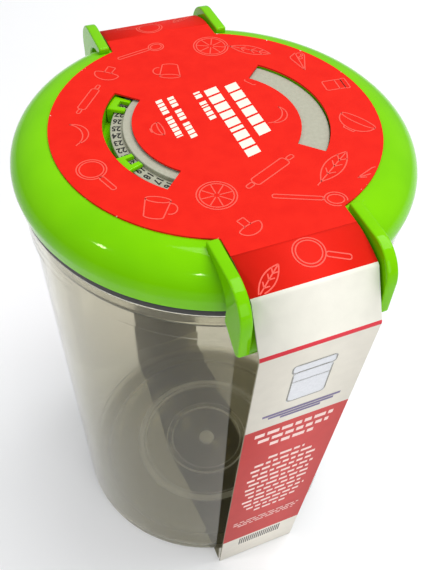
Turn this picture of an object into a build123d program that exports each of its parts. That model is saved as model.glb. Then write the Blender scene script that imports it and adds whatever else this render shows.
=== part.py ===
from build123d import *
import math
import os

# Vacuum canister with a lift-off lid, a date scale with two sliding pointers, a valve and a card sleeve.
# Millimetres. +Z is up, the front of the sleeve faces -Y, and the origin is under the middle of the base.

# Clearances and the overrun that lets a cut pass through
slide_gap = 0.3
running_gap = 0.1
overrun = 5.0

# Card
card_thickness = 0.5

# Canister
canister_height = 166.0
rim_radius = 57.3
rim_step = 0.8
wall_taper = 0.7
rim_band_height = 10.0
rim_step_height = 1.2
wall_thickness = 2.0
floor_thickness = 2.4
foot_height = 1.6
foot_width = 5.0
outer_corner_radius = 3.6
inner_corner_radius = 3.0
floor_rib_height = 0.9
inner_rib_radius = 17.8
inner_rib_width = 3.0
outer_rib_radius = 31.0
outer_rib_width = 3.8
edge_rib_inset = 6.8
edge_rib_width = 2.4
gate_mark_radius = 3.6
gate_mark_height = 1.2

# Lid
seal_thickness = 2.6
seal_overhang = 0.5
lip_overhang = 0.9
lid_swell = 0.6
lid_wall = 2.2
lip_height = 4.3
shoulder_height = 9.4
shoulder_width = 12.0
recess_radius = 32.6
recess_depth = 5.3
recess_floor = 2.2
liner_thickness = 2.1
skirt_depth = 9.6
skirt_wall = 2.0
chimney_radius = 12.0
chimney_wall = 2.0
channel_seal_thickness = 1.0

# Grips: two upright fins and a curved web at the front and at the back
fin_spacing = 35.8
fin_thickness = 3.3
fin_height = 1.8
fin_lead = 2.5
fin_overhang = 7.6
fin_bend_width = 9.7
fin_bend = 9.5
fin_drop = 5.0
fin_tip_chamfer = 1.2
fin_tip_width = 1.2
web_thickness = 2.0
web_lead = 0.2
web_start_drop = 0.8
web_fold_overhang = 2.4
web_fold_drop = 3.9
web_setback = 0.2
web_reach_drop = 15.6
web_bend = 6.0
web_inset = 0.6

# Date scale
plate_edge_gap = 2.4
plate_thickness = 3.5
plate_undercut_depth = 1.3
plate_undercut_height = 1.4
well_radius = 11.5
cover_thickness = 1.3
cover_ledge_width = 3.5
cover_edge_gap = 1.2
day_count = 31
early_day_count = 16
early_day_step = 5.5
day_step = 6.66
first_day_angle = 303.8
track_end_margin = 1.5
pointer_day_a = 28
pointer_day_b = 20
pointer_half_angle = 5.9
pointer_slot_half_angle = 2.7
pointer_height = 1.0
pointer_back_width = 2.6
pointer_foot_height = 0.8
pointer_edge_radius = 0.45

# Valve
stem_radius = 2.0
barb_radius = 3.2
barb_height = 1.6
valve_travel = 1.5
flap_radius = 7.6
flap_thickness = 1.2
post_radius = 3.0
post_height = 1.3
knob_radius = 5.4
knob_height = 2.0
knob_edge_radius = 0.6
vent_radius = 0.9
vent_circle_radius = 4.8
vent_count = 6

# Card sleeve
disc_lap = 0.2
strap_side_gap = 0.8
strap_flat_lead = 3.2
fold_one_gap = 1.3
fold_one_lift = 0.7
fold_two_gap = 3.6
fold_two_fall = 1.5
panel_foot_gap = 1.2
panel_foot_lift = 0.5
window_lap = 0.4
window_width = 8.2
window_half_angle = 44.5
strip_tab_height = 12.0
strip_gap = 0.8

# Heights worked out from the sizes above
foot_z = card_thickness
floor_under_z = foot_z + foot_height
floor_top_z = floor_under_z + floor_thickness
rim_z = foot_z + canister_height
band_z = rim_z - rim_band_height
lid_edge_z = rim_z + seal_thickness
liner_top_z = lid_edge_z + liner_thickness
shoulder_z = lid_edge_z + lip_height
lid_top_z = shoulder_z + shoulder_height
recess_floor_z = lid_top_z - recess_depth
recess_under_z = recess_floor_z - recess_floor
plate_top_z = recess_floor_z + plate_thickness
cover_top_z = plate_top_z + cover_thickness
card_top_z = lid_top_z + card_thickness
fin_top_z = lid_top_z + fin_height

# Radii and reaches worked out from the sizes above
wall_top_radius = rim_radius - rim_step
base_radius = wall_top_radius - wall_taper
seal_radius = rim_radius + seal_overhang
lip_radius = rim_radius + lip_overhang
lid_radius = lip_radius + lid_swell
inner_base_radius = base_radius - wall_thickness
mouth_radius = wall_top_radius - wall_thickness
skirt_outer_radius = mouth_radius - slide_gap
lip_inner_radius = lip_radius - lid_wall
shoulder_start = lid_radius - shoulder_width
plate_radius = recess_radius - plate_edge_gap
cover_ledge_radius = plate_radius - cover_ledge_width
window_outer_radius = recess_radius - window_lap
window_inner_radius = window_outer_radius - window_width
fin_start = shoulder_start - fin_lead
fin_reach = lid_radius + fin_overhang
fin_shoulder = fin_reach - fin_bend_width
web_start = shoulder_start + web_lead
web_fold_reach = lid_radius + web_fold_overhang
web_reach = fin_reach - web_setback
disc_radius = shoulder_start + disc_lap
strap_width = fin_spacing - 2 * strap_side_gap
strap_flat_reach = shoulder_start + strap_flat_lead
fold_one_reach = web_fold_reach + fold_one_gap
fold_one_drop = web_fold_drop - fold_one_lift
fold_two_reach = web_reach + fold_two_gap
fold_two_drop = web_reach_drop + fold_two_fall
panel_foot_reach = rim_radius + panel_foot_gap

os.makedirs("parts", exist_ok=True)


def write(piece, name):
    """Labels a finished piece and writes it as one STEP file."""
    piece.part.label = name
    export_step(piece.part, f"parts/{name}.step")


# Canister: clear wall, a thicker band under the rim, a raised floor and a foot ring
with BuildPart() as canister:
    with BuildSketch(Plane.XZ):
        with BuildLine():
            foot_inner = base_radius - outer_corner_radius - foot_width
            Polyline((0, floor_top_z), (0, floor_under_z), (foot_inner, floor_under_z), (foot_inner, foot_z))
            Line((foot_inner, foot_z), (base_radius - outer_corner_radius, foot_z))
            RadiusArc(
                (base_radius - outer_corner_radius, foot_z),
                (base_radius, foot_z + outer_corner_radius),
                -outer_corner_radius,
            )
            Polyline(
                (base_radius, foot_z + outer_corner_radius),
                (wall_top_radius, band_z - rim_step_height),
                (rim_radius, band_z),
                (rim_radius, rim_z),
                (mouth_radius, rim_z),
                (inner_base_radius, floor_top_z + inner_corner_radius),
            )
            RadiusArc(
                (inner_base_radius, floor_top_z + inner_corner_radius),
                (inner_base_radius - inner_corner_radius, floor_top_z),
                inner_corner_radius,
            )
            Line((inner_base_radius - inner_corner_radius, floor_top_z), (0, floor_top_z))
        make_face()
    revolve(axis=Axis.Z)
    # Low round ribs on the floor, and the gate mark in the middle
    for rib_radius, rib_width in (
        (inner_rib_radius, inner_rib_width),
        (outer_rib_radius, outer_rib_width),
        (inner_base_radius - edge_rib_inset, edge_rib_width),
    ):
        with BuildSketch(Plane.XZ):
            with BuildLine():
                crown = (rib_radius, floor_top_z + floor_rib_height)
                ThreePointArc(
                    (rib_radius - rib_width / 2, floor_top_z), crown, (rib_radius + rib_width / 2, floor_top_z)
                )
                Polyline(
                    (rib_radius + rib_width / 2, floor_top_z),
                    (rib_radius + rib_width / 2, floor_top_z - floor_rib_height),
                    (rib_radius - rib_width / 2, floor_top_z - floor_rib_height),
                    (rib_radius - rib_width / 2, floor_top_z),
                )
            make_face()
        revolve(axis=Axis.Z)
    with BuildSketch(Plane.XZ):
        with BuildLine():
            Polyline((0, floor_top_z + gate_mark_height), (0, floor_top_z), (gate_mark_radius, floor_top_z))
            RadiusArc(
                (gate_mark_radius, floor_top_z),
                (0, floor_top_z + gate_mark_height),
                -(gate_mark_radius**2 + gate_mark_height**2) / (2 * gate_mark_height),
            )
        make_face()
    revolve(axis=Axis.Z)
write(canister, "canister")

# Seal: a soft ring under the lid that stands on the canister's rim and shows as a dark line
with BuildPart() as seal_ring:
    with BuildSketch(Plane.XY.offset(rim_z)):
        Circle(seal_radius)
        Circle(skirt_outer_radius + running_gap, mode=Mode.SUBTRACT)
    extrude(amount=seal_thickness)
write(seal_ring, "seal_ring")

# Liner: the closed underside of the lid, with the skirt that enters the mouth and the valve's channel
with BuildPart() as lid_liner:
    with BuildSketch(Plane.XZ):
        with BuildLine():
            skirt_inner = skirt_outer_radius - skirt_wall
            chimney_outer = chimney_radius + chimney_wall
            chimney_top_z = recess_under_z - channel_seal_thickness
            Polyline(
                (chimney_radius, lid_edge_z),
                (skirt_inner, lid_edge_z),
                (skirt_inner, lid_edge_z - skirt_depth),
                (skirt_outer_radius, lid_edge_z - skirt_depth),
                (skirt_outer_radius, lid_edge_z),
                (lip_inner_radius - slide_gap, lid_edge_z),
                (lip_inner_radius - slide_gap, liner_top_z),
                (chimney_outer, liner_top_z),
                (chimney_outer, chimney_top_z),
                (chimney_radius, chimney_top_z),
                (chimney_radius, lid_edge_z),
            )
        make_face()
    revolve(axis=Axis.Z)
write(lid_liner, "lid_liner")

# Channel seal: closes the joint between the liner's channel and the shell
with BuildPart() as channel_seal:
    with BuildSketch(Plane.XY.offset(chimney_top_z)):
        Circle(chimney_outer)
        Circle(chimney_radius, mode=Mode.SUBTRACT)
    extrude(amount=channel_seal_thickness)
write(channel_seal, "channel_seal")

# Room inside the lid: what the fins and webs are trimmed to
with BuildPart() as lid_room:
    with BuildSketch(Plane.XZ):
        with BuildLine():
            Polyline(
                (0, lid_top_z - lid_wall),
                (0, lid_edge_z - skirt_depth - overrun),
                (lip_radius, lid_edge_z - skirt_depth - overrun),
                (lip_radius, lid_edge_z),
                (lip_inner_radius, lid_edge_z),
                (lid_radius - lid_wall, shoulder_z),
            )
            EllipticalCenterArc(
                (shoulder_start, shoulder_z),
                shoulder_width - lid_wall,
                shoulder_height - lid_wall,
                start_angle=0,
                arc_size=90,
            )
            Line((shoulder_start, lid_top_z - lid_wall), (0, lid_top_z - lid_wall))
        make_face()
    revolve(axis=Axis.Z)

# Lid shell: round shoulder, recess for the date scale, fins and webs
with BuildPart() as lid_shell:
    # Fins, one extrusion for each side of the grip, at the back and then mirrored to the front
    for fin_plane in (Plane.YZ.offset(fin_spacing / 2), Plane.YZ.offset(-fin_spacing / 2 - fin_thickness)):
        with BuildSketch(fin_plane):
            with BuildLine():
                tip_z = lid_edge_z - fin_drop
                bend_z = fin_top_z - fin_bend
                Polyline((fin_shoulder, fin_top_z), (fin_start, fin_top_z), (fin_start, lid_top_z - lid_wall))
                Polyline(
                    (fin_start, lid_top_z - lid_wall),
                    (lip_inner_radius - fin_height, lid_edge_z),
                    (fin_reach - fin_tip_chamfer - fin_tip_width, tip_z),
                    (fin_reach - fin_tip_chamfer, tip_z),
                    (fin_reach, tip_z + fin_tip_chamfer),
                    (fin_reach, bend_z),
                )
                EllipticalCenterArc(
                    (fin_shoulder, bend_z), fin_reach - fin_shoulder, fin_bend, start_angle=0, arc_size=90
                )
            make_face()
        extrude(amount=fin_thickness)
    # Web: a bent plate between the fins
    with BuildSketch(Plane.YZ.offset(-fin_spacing / 2)):
        with BuildLine() as web_line:
            FilletPolyline(
                (web_start, lid_top_z - web_start_drop),
                (web_fold_reach, lid_top_z - web_fold_drop),
                (web_reach, lid_top_z - web_reach_drop),
                (web_reach - web_inset, tip_z),
                radius=web_bend,
            )
            offset(amount=web_thickness, side=Side.RIGHT)
        make_face()
    extrude(amount=fin_spacing)
    mirror(about=Plane.XZ)
    add(lid_room.part, mode=Mode.SUBTRACT)
    with BuildSketch(Plane.XZ):
        with BuildLine():
            Polyline(
                (stem_radius + running_gap, recess_floor_z),
                (recess_radius, recess_floor_z),
                (recess_radius, lid_top_z),
                (shoulder_start, lid_top_z),
            )
            EllipticalCenterArc(
                (shoulder_start, shoulder_z), shoulder_width, shoulder_height, start_angle=0, arc_size=90
            )
            Polyline(
                (lid_radius, shoulder_z),
                (lip_radius, lid_edge_z),
                (lip_inner_radius, lid_edge_z),
                (lid_radius - lid_wall, shoulder_z),
            )
            EllipticalCenterArc(
                (shoulder_start, shoulder_z),
                shoulder_width - lid_wall,
                shoulder_height - lid_wall,
                start_angle=0,
                arc_size=90,
            )
            Polyline(
                (shoulder_start, lid_top_z - lid_wall),
                (recess_radius + lid_wall, lid_top_z - lid_wall),
                (recess_radius + lid_wall, liner_top_z),
                (recess_radius, liner_top_z),
                (recess_radius, recess_under_z),
                (stem_radius + running_gap, recess_under_z),
                (stem_radius + running_gap, recess_floor_z),
            )
        make_face()
    revolve(axis=Axis.Z)
    # Vents under the valve's flap
    with Locations(Plane.XY.offset(recess_floor_z)):
        with PolarLocations(vent_circle_radius, vent_count):
            Hole(vent_radius, depth=recess_floor + overrun)
write(lid_shell, "lid_shell")

# Number plate: carries the days, and its undercut edge holds the pointers
with BuildPart() as number_plate:
    with BuildSketch(Plane.XZ):
        with BuildLine():
            undercut_radius = plate_radius - plate_undercut_depth
            undercut_z = recess_floor_z + plate_undercut_height
            Polyline(
                (well_radius, recess_floor_z),
                (undercut_radius, recess_floor_z),
                (undercut_radius, undercut_z),
                (plate_radius, undercut_z),
                (plate_radius, plate_top_z),
                (well_radius, plate_top_z),
                (well_radius, recess_floor_z),
            )
        make_face()
    revolve(axis=Axis.Z)
write(number_plate, "number_plate")


def day_angle(day):
    """Angle of a day on the scale, in degrees from +X: the days run clockwise, the early ones closer together."""
    early_steps = min(day, early_day_count) - 1
    late_steps = max(day - early_day_count, 0)
    return first_day_angle - early_steps * early_day_step - late_steps * day_step


# Cover: lies on the number plate, and is cut back to a ledge where the scale shows
track_start = day_angle(day_count) - pointer_half_angle - track_end_margin
track_sweep = first_day_angle + pointer_half_angle + track_end_margin - track_start
with BuildPart() as track_cut:
    with BuildSketch(Plane.XZ):
        with Locations(((cover_ledge_radius + recess_radius + overrun) / 2, (plate_top_z + cover_top_z) / 2)):
            Rectangle(recess_radius + overrun - cover_ledge_radius, cover_thickness + overrun)
    revolve(axis=Axis.Z, revolution_arc=track_sweep)

with BuildPart() as scale_cover:
    with BuildSketch(Plane.XY.offset(plate_top_z)):
        Circle(recess_radius - cover_edge_gap)
        Circle(well_radius, mode=Mode.SUBTRACT)
    extrude(amount=cover_thickness)
    add(track_cut.part.rotate(Axis.Z, track_start), mode=Mode.SUBTRACT)
write(scale_cover, "scale_cover")


def make_pointer(day, name):
    """A bracket whose two prongs frame one day; its leg and foot run in the groove round the plate."""
    back_radius = recess_radius - slide_gap
    foot_under_z = recess_floor_z + slide_gap
    with BuildPart() as bracket:
        with BuildSketch(Plane.XZ):
            with BuildLine():
                leg_radius = plate_radius + slide_gap
                Polyline(
                    (cover_ledge_radius + slide_gap, plate_top_z + slide_gap),
                    (leg_radius, plate_top_z + slide_gap),
                    (leg_radius, foot_under_z + pointer_foot_height),
                    (undercut_radius + slide_gap, foot_under_z + pointer_foot_height),
                    (undercut_radius + slide_gap, foot_under_z),
                    (back_radius, foot_under_z),
                    (back_radius, plate_top_z + slide_gap + pointer_height),
                    (cover_ledge_radius + slide_gap, plate_top_z + slide_gap + pointer_height),
                    (cover_ledge_radius + slide_gap, plate_top_z + slide_gap),
                )
            make_face()
        revolve(axis=Axis.Z, revolution_arc=2 * pointer_half_angle)
        fillet(bracket.faces().sort_by(Axis.Z)[-1].edges(), pointer_edge_radius)
    with BuildPart() as slot:
        with BuildSketch(Plane.XZ):
            slot_outer = back_radius - pointer_back_width
            with Locations(((cover_ledge_radius + slot_outer) / 2, plate_top_z + pointer_height / 2 + slide_gap)):
                Rectangle(slot_outer - cover_ledge_radius, pointer_height + overrun)
        revolve(axis=Axis.Z, revolution_arc=2 * pointer_slot_half_angle)
    with BuildPart() as pointer:
        add(bracket.part.rotate(Axis.Z, day_angle(day) - pointer_half_angle))
        add(slot.part.rotate(Axis.Z, day_angle(day) - pointer_slot_half_angle), mode=Mode.SUBTRACT)
    write(pointer, name)


make_pointer(pointer_day_a, "day_pointer_a")
make_pointer(pointer_day_b, "day_pointer_b")

# Valve: a soft flap over the vents, with a barbed stem through the floor of the recess
with BuildPart() as valve_flap:
    with BuildSketch(Plane.XZ):
        with BuildLine():
            flap_top_z = recess_floor_z + flap_thickness
            barb_top_z = recess_under_z - valve_travel - slide_gap
            Polyline(
                (0, flap_top_z + post_height),
                (0, barb_top_z - barb_height),
                (stem_radius, barb_top_z - barb_height),
                (barb_radius, barb_top_z),
                (stem_radius, barb_top_z),
                (stem_radius, recess_floor_z),
                (flap_radius, recess_floor_z),
                (flap_radius, recess_floor_z + flap_thickness / 2),
                (knob_radius, flap_top_z),
                (post_radius, flap_top_z),
                (post_radius, flap_top_z + post_height),
                (0, flap_top_z + post_height),
            )
        make_face()
    revolve(axis=Axis.Z)
write(valve_flap, "valve_flap")

# Knob: the cap that is pinched to lift the flap and let the air in
with BuildPart() as valve_knob:
    with BuildSketch(Plane.XY.offset(flap_top_z)):
        Circle(knob_radius)
    extrude(amount=knob_height)
    fillet(valve_knob.faces().sort_by(Axis.Z)[-1].edges(), knob_edge_radius)
    with BuildSketch(Plane.XY.offset(flap_top_z)):
        Circle(post_radius + running_gap / 2)
    extrude(amount=post_height + running_gap / 2, mode=Mode.SUBTRACT)
write(valve_knob, "valve_knob")

# Windows of the sleeve: two arcs that show the scale and the cover
with BuildPart() as window_cut:
    with BuildSketch(Plane.XZ):
        with Locations(((window_inner_radius + window_outer_radius) / 2, card_top_z)):
            Rectangle(window_outer_radius - window_inner_radius, overrun)
    revolve(axis=Axis.Z, revolution_arc=2 * window_half_angle)

# Sleeve top: the card disc that lies on the lid, with the strap's flat part
with BuildPart() as sleeve_top:
    with BuildSketch(Plane.XY.offset(lid_top_z)):
        Circle(disc_radius)
        Rectangle(strap_width, 2 * strap_flat_reach)
    extrude(amount=card_thickness)
    for window_angle in (0, 180):
        add(window_cut.part.rotate(Axis.Z, window_angle - window_half_angle), mode=Mode.SUBTRACT)
write(sleeve_top, "sleeve_top")


def make_panel(name, front):
    """A side of the sleeve: down over the grip to the first fold, out to the second, and in to the foot."""
    with BuildPart() as panel:
        with BuildSketch(Plane.YZ.offset(-strap_width / 2)):
            with BuildLine():
                Polyline(
                    (strap_flat_reach, card_top_z),
                    (fold_one_reach, card_top_z - fold_one_drop),
                    (fold_two_reach, card_top_z - fold_two_drop),
                    (panel_foot_reach, panel_foot_lift),
                )
                offset(amount=card_thickness, side=Side.RIGHT, kind=Kind.INTERSECTION)
            make_face()
        extrude(amount=strap_width)
        split(bisect_by=Plane.XZ.offset(-strap_flat_reach), keep=Keep.BOTTOM)
        if front:
            mirror(about=Plane.XZ, mode=Mode.REPLACE)
    write(panel, name)


make_panel("sleeve_front", True)
make_panel("sleeve_back", False)

# Base strip: passes under the canister, with a short tab standing up inside the foot of each panel
with BuildPart() as base_strip:
    with BuildSketch(Plane.YZ.offset(-strap_width / 2)):
        with BuildLine():
            tab_reach = base_radius + strip_gap + card_thickness
            Polyline((-tab_reach, strip_tab_height), (-tab_reach, 0), (tab_reach, 0), (tab_reach, strip_tab_height))
            offset(amount=card_thickness, side=Side.LEFT, kind=Kind.INTERSECTION)
        make_face()
    extrude(amount=strap_width)
write(base_strip, "base_strip")

mean_inner_radius = (inner_base_radius + mouth_radius) / 2
litres = math.pi * mean_inner_radius**2 * (rim_z - floor_top_z) / 1e6
print(f"brimful capacity {litres:.2f} litres, overall height {fin_top_z:.1f} mm")
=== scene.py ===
import math

import bmesh
import bpy
import numpy as np
from mathutils import Matrix, Vector


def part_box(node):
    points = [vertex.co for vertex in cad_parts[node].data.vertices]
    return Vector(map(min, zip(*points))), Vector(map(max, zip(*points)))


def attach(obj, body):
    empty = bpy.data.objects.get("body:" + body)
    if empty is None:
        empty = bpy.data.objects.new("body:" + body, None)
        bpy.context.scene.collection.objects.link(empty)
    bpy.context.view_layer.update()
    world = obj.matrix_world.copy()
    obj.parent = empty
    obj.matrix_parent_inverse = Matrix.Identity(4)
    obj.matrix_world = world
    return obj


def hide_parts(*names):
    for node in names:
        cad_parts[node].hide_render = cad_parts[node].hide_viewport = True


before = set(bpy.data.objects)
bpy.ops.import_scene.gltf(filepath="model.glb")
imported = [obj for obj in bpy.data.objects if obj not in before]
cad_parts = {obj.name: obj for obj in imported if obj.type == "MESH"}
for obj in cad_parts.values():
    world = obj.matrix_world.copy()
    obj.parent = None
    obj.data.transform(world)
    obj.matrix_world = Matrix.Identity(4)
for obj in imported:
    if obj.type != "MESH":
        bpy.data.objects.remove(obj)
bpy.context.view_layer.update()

# Profiles are written in millimetres and become metres when a mesh is made.
METRE = 0.001

# Camera, in millimetres and in pixels of a 425 by 570 picture
camera_place = (-66.58, -153.19, 301.08)
camera_right = (0.9195, -0.3905, 0.0445)
camera_down = (-0.2845, -0.7396, -0.6100)
camera_ahead = (0.2710, 0.5482, -0.7911)
focal_pixels = 690.89
principal_pixel = (230.72, 334.79)
picture_pixels = (425, 570)
sensor_width = 36.0


def add_object(name, data):
    """A new object in the scene, from a mesh, a lamp or a lens."""
    added = bpy.data.objects.new(name, data)
    bpy.context.scene.collection.objects.link(added)
    return added


def make_camera():
    """The photograph's viewpoint: a fitted place and three directions, with the shift its framing needs."""
    lens_data = bpy.data.cameras.new("photo_camera")
    camera = add_object("photo_camera", lens_data)
    turn = Matrix((camera_right, -Vector(camera_down), -Vector(camera_ahead))).transposed()
    camera.matrix_world = Matrix.Translation(Vector(camera_place) * METRE) @ turn.to_4x4()
    long_side = max(picture_pixels)
    lens_data.sensor_width = sensor_width
    lens_data.lens = focal_pixels / long_side * sensor_width
    lens_data.shift_x = (picture_pixels[0] / 2 - principal_pixel[0]) / long_side
    lens_data.shift_y = (principal_pixel[1] - picture_pixels[1] / 2) / long_side
    lens_data.clip_start = 0.01
    bpy.context.scene.camera = camera


make_camera()

# Sizes read from the frame, in millimetres


def extent(node, axis):
    """The lowest and highest value of a CAD node along an axis, in millimetres."""
    low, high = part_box(node)
    return low[axis] / METRE, high[axis] / METRE


X, Y, Z = 0, 1, 2
foot_z, rim_z = extent("canister", Z)
seal_low_z, lid_edge_z = extent("seal_ring", Z)
skirt_low_z, chimney_top_z = extent("lid_liner", Z)
tip_z, fin_top_z = extent("lid_shell", Z)
fin_reach = extent("lid_shell", Y)[1]
recess_floor_z, plate_top_z = extent("number_plate", Z)
cover_top_z = extent("scale_cover", Z)[1]
stem_low_z, post_top_z = extent("valve_flap", Z)
knob_low_z, knob_top_z = extent("valve_knob", Z)
lid_top_z, card_top_z = extent("sleeve_top", Z)
flat_reach = extent("sleeve_top", Y)[1]
card_thickness = card_top_z - lid_top_z
strap_half_width = extent("sleeve_back", X)[1]
strip_reach = extent("base_strip", Y)[1]
tab_top_z = extent("base_strip", Z)[1]

# Sizes that repeat the CAD's own named values, in millimetres. The cover alone reaches 0.7 further here.
base_radius = 55.8
wall_top_radius = 56.5
rim_radius = 57.3
wall_thickness = 2.0
floor_under_z = foot_z + 1.6
floor_top_z = floor_under_z + 2.4
band_z = rim_z - 10.0
foot_width = 5.0
corner_radius = 3.6
lip_radius = 58.2
lid_radius = 58.8
lid_wall = 2.2
liner_top_z = lid_edge_z + 2.1
skirt_radius = wall_top_radius - wall_thickness - 0.3
skirt_wall = 2.0
chimney_inner = 12.0
chimney_outer = 14.0
seal_inner = 54.3
seal_outer = 57.8
shoulder_width = 12.0
shoulder_z = lid_edge_z + 4.3
shoulder_start = lid_radius - shoulder_width
valve_hole_radius = 2.1
recess_radius = 32.6
recess_under_z = recess_floor_z - 2.2
fin_inner_x = 17.9
fin_thickness = 3.3
fin_start = 44.3
fin_root = 57.2
fin_shoulder = fin_reach - 9.7
fin_bend_z = fin_top_z - 9.5
tip_chamfer = 1.2
web_thickness = 2.0
web_fold_reach = 61.2
web_bend = 6.0
plate_radius = 30.2
undercut_radius = plate_radius - 1.3
undercut_top_z = recess_floor_z + 1.4
cover_ledge_radius = 26.7
cover_radius = recess_radius - 0.5
well_radius = 11.5
pointer_half_angle = 5.9
track_end_margin = 1.5
stem_radius = 2.0
post_radius = 3.0
barb_radius = 3.2
barb_top_z = stem_low_z + 1.6
flap_radius = 7.6
flap_top_z = recess_floor_z + 1.2
knob_radius = 5.4
day_count = 31
early_day_count = 16
early_day_step = 5.5
day_step = 6.66
first_day_angle = 303.8
window_inner_radius = 24.0
window_outer_radius = 32.2
window_half_angle = 44.5
disc_radius = 47.0


def linear(red, green, blue):
    """A screen colour from 0 to 255 as the linear colour that shaders use."""
    screen = np.array([red, green, blue]) / 255.0
    low = screen / 12.92
    high = ((screen + 0.055) / 1.055) ** 2.4
    return tuple(np.where(screen <= 0.04045, low, high)) + (1.0,)


# Materials

# Tones are screen colours from 0 to 255. The tint of a reflection is linear.
RED_PRINT = (216, 27, 13)
# Card pulp tones, darker and more olive than the bare board: painted shade for the card's unprinted side
SHADED_PULP_DARK, SHADED_PULP_PALE = (136, 131, 108), (170, 164, 141)
LIME_GLOSS = (0.9, 1.0, 0.6, 1)
SMOKE_GLOSS = (0.45, 0.42, 0.3, 1)
RED_GLOSS = (1.0, 0.5, 0.45, 1)
# Most of a noise lies between these two values
noise_low, noise_high = 0.3, 0.7


def add_node(tree, kind, inputs, **settings):
    """A node with its settings, whose inputs take a value each or the output of another node."""
    node = tree.nodes.new("ShaderNode" + kind)
    for setting, value in settings.items():
        setattr(node, setting, value)
    for socket, value in inputs.items():
        if isinstance(value, bpy.types.NodeSocket):
            tree.links.new(value, node.inputs[socket])
        else:
            node.inputs[socket].default_value = value
    return node


class Finish:
    """A material with a Principled shader, and short ways to add a pattern on object coordinates."""

    def __init__(self, name, tone, roughness, **sockets):
        self.material = bpy.data.materials.new(name)
        self.material.use_nodes = True
        self.tree = self.material.node_tree
        self.shader = self.tree.nodes["Principled BSDF"]
        self.shader.inputs["Base Color"].default_value = linear(*tone)
        self.shader.inputs["Roughness"].default_value = roughness
        for socket, value in sockets.items():
            self.shader.inputs[socket.replace("_", " ")].default_value = value
        coordinates = self.add("TexCoord", {})
        self.place = coordinates.outputs["Object"]
        self.facing = coordinates.outputs["Normal"]

    def add(self, kind, inputs, **settings):
        """A node of this material."""
        return add_node(self.tree, kind, inputs, **settings)

    def drive(self, socket, output):
        """A socket of the shader takes the output of a node."""
        self.tree.links.new(output, self.shader.inputs[socket])

    def noise(self, scale, detail, stretch=(1, 1, 1)):
        """Fractal noise from 0 to 1, at a scale per metre."""
        place = self.add("Mapping", {"Vector": self.place, "Scale": stretch}).outputs["Vector"]
        return self.add("TexNoise", {"Vector": place, "Scale": scale, "Detail": detail}).outputs["Fac"]

    def between(self, value, colour_low, colour_high):
        """A colour that goes from one to another as a noise goes from its low to its high value."""
        ramp = self.add("ValToRGB", {"Fac": value})
        ramp.color_ramp.elements[0].position = noise_low
        ramp.color_ramp.elements[1].position = noise_high
        ramp.color_ramp.elements[0].color = colour_low
        ramp.color_ramp.elements[1].color = colour_high
        return ramp.outputs["Color"]

    def mottle(self, value, tone_low, tone_high):
        """Base colour that wavers between two near tones."""
        self.drive("Base Color", self.between(value, linear(*tone_low), linear(*tone_high)))

    def vary_roughness(self, value, low, high):
        """Roughness that wavers between two values."""
        ends = {"From Min": noise_low, "From Max": noise_high, "To Min": low, "To Max": high}
        remap = self.add("MapRange", {"Value": value, **ends})
        self.drive("Roughness", remap.outputs["Result"])

    def bump(self, value, strength, depth=0.0001):
        """Fine relief of a given depth in metres."""
        relief = self.add("Bump", {"Height": value, "Strength": strength, "Distance": depth})
        self.drive("Normal", relief.outputs["Normal"])

    def over(self, value, limit):
        """1 where the value is over the limit, 0 elsewhere."""
        return self.add("Math", {0: value, 1: limit}, operation="GREATER_THAN").outputs["Value"]

    def mix(self, share, first, second, blend_type="MIX"):
        """A colour with a share of the second one mixed into the first."""
        inputs = {"Factor": share, "A": first, "B": second}
        return self.add("Mix", inputs, data_type="RGBA", blend_type=blend_type).outputs["Result"]


def green_plastic():
    """Glossy lime moulding with a slight flow mottle and an orange-peel relief too fine to see as bumps."""
    finish = Finish("lime_gloss", (113, 191, 0), 0.2, Specular_IOR_Level=0.16, Specular_Tint=LIME_GLOSS)
    finish.mottle(finish.noise(60, 2), (109, 187, 0), (118, 195, 0))
    finish.vary_roughness(finish.noise(900, 3), 0.065, 0.085)
    finish.bump(finish.noise(350, 2), 0.025)
    return finish.material


def see_through(name, tone, roughness):
    """Smoky clear plastic, with a reflection that keeps some of the smoke's tone."""
    return Finish(name, tone, roughness, IOR=1.49, Transmission_Weight=1.0, Specular_Tint=SMOKE_GLOSS)


def clear_plastic():
    """Polished clear wall with a faint smoky tint and fine wipe marks."""
    finish = see_through("clear_smoky", (221, 218, 203), 0.03)
    finish.vary_roughness(finish.noise(40, 4, (1, 1, 3)), 0.015, 0.06)
    finish.bump(finish.noise(25, 1), 0.05)
    return finish.material


def thick_plastic():
    """The same plastic where the floor is thick, so darker and more olive."""
    finish = see_through("clear_floor", (194, 189, 162), 0.05)
    finish.vary_roughness(finish.noise(60, 4), 0.03, 0.1)
    return finish.material


def satin_plastic():
    """Moulded ribs and gate mark: a pale milky satin colour that paints the highlights they catch."""
    finish = Finish("rib_painted_highlight", (238, 235, 222), 0.35, IOR=1.49, Transmission_Weight=0.35)
    finish.mottle(finish.noise(300, 3), (230, 227, 213), (245, 242, 230))
    finish.bump(finish.noise(900, 3), 0.1)
    return finish.material


def pale_plastic():
    """Pale moulded plastic of the lid's underside, which lets light through."""
    finish = Finish("pale_moulding", (234, 233, 222), 0.08, IOR=1.5, Transmission_Weight=0.95)
    finish.mottle(finish.noise(80, 2), (229, 228, 217), (238, 237, 227))
    finish.bump(finish.noise(500, 2), 0.08)
    return finish.material


def rubber(name, tone, roughness):
    """Soft seal with a dusty satin skin."""
    finish = Finish(name, tone, roughness, IOR=1.45)
    lighter = [min(channel + 12, 255) for channel in tone]
    finish.mottle(finish.noise(700, 4), tone, lighter)
    finish.bump(finish.noise(2500, 2), 0.15)
    return finish.material


def grey_plastic(name, tone):
    """Warm grey satin plastic with a spark-eroded grain."""
    finish = Finish(name, tone, 0.42, IOR=1.5)
    darker = [channel - 8 for channel in tone]
    finish.mottle(finish.noise(900, 3), darker, tone)
    finish.bump(finish.noise(4000, 2), 0.2, 0.00005)
    return finish.material


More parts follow.
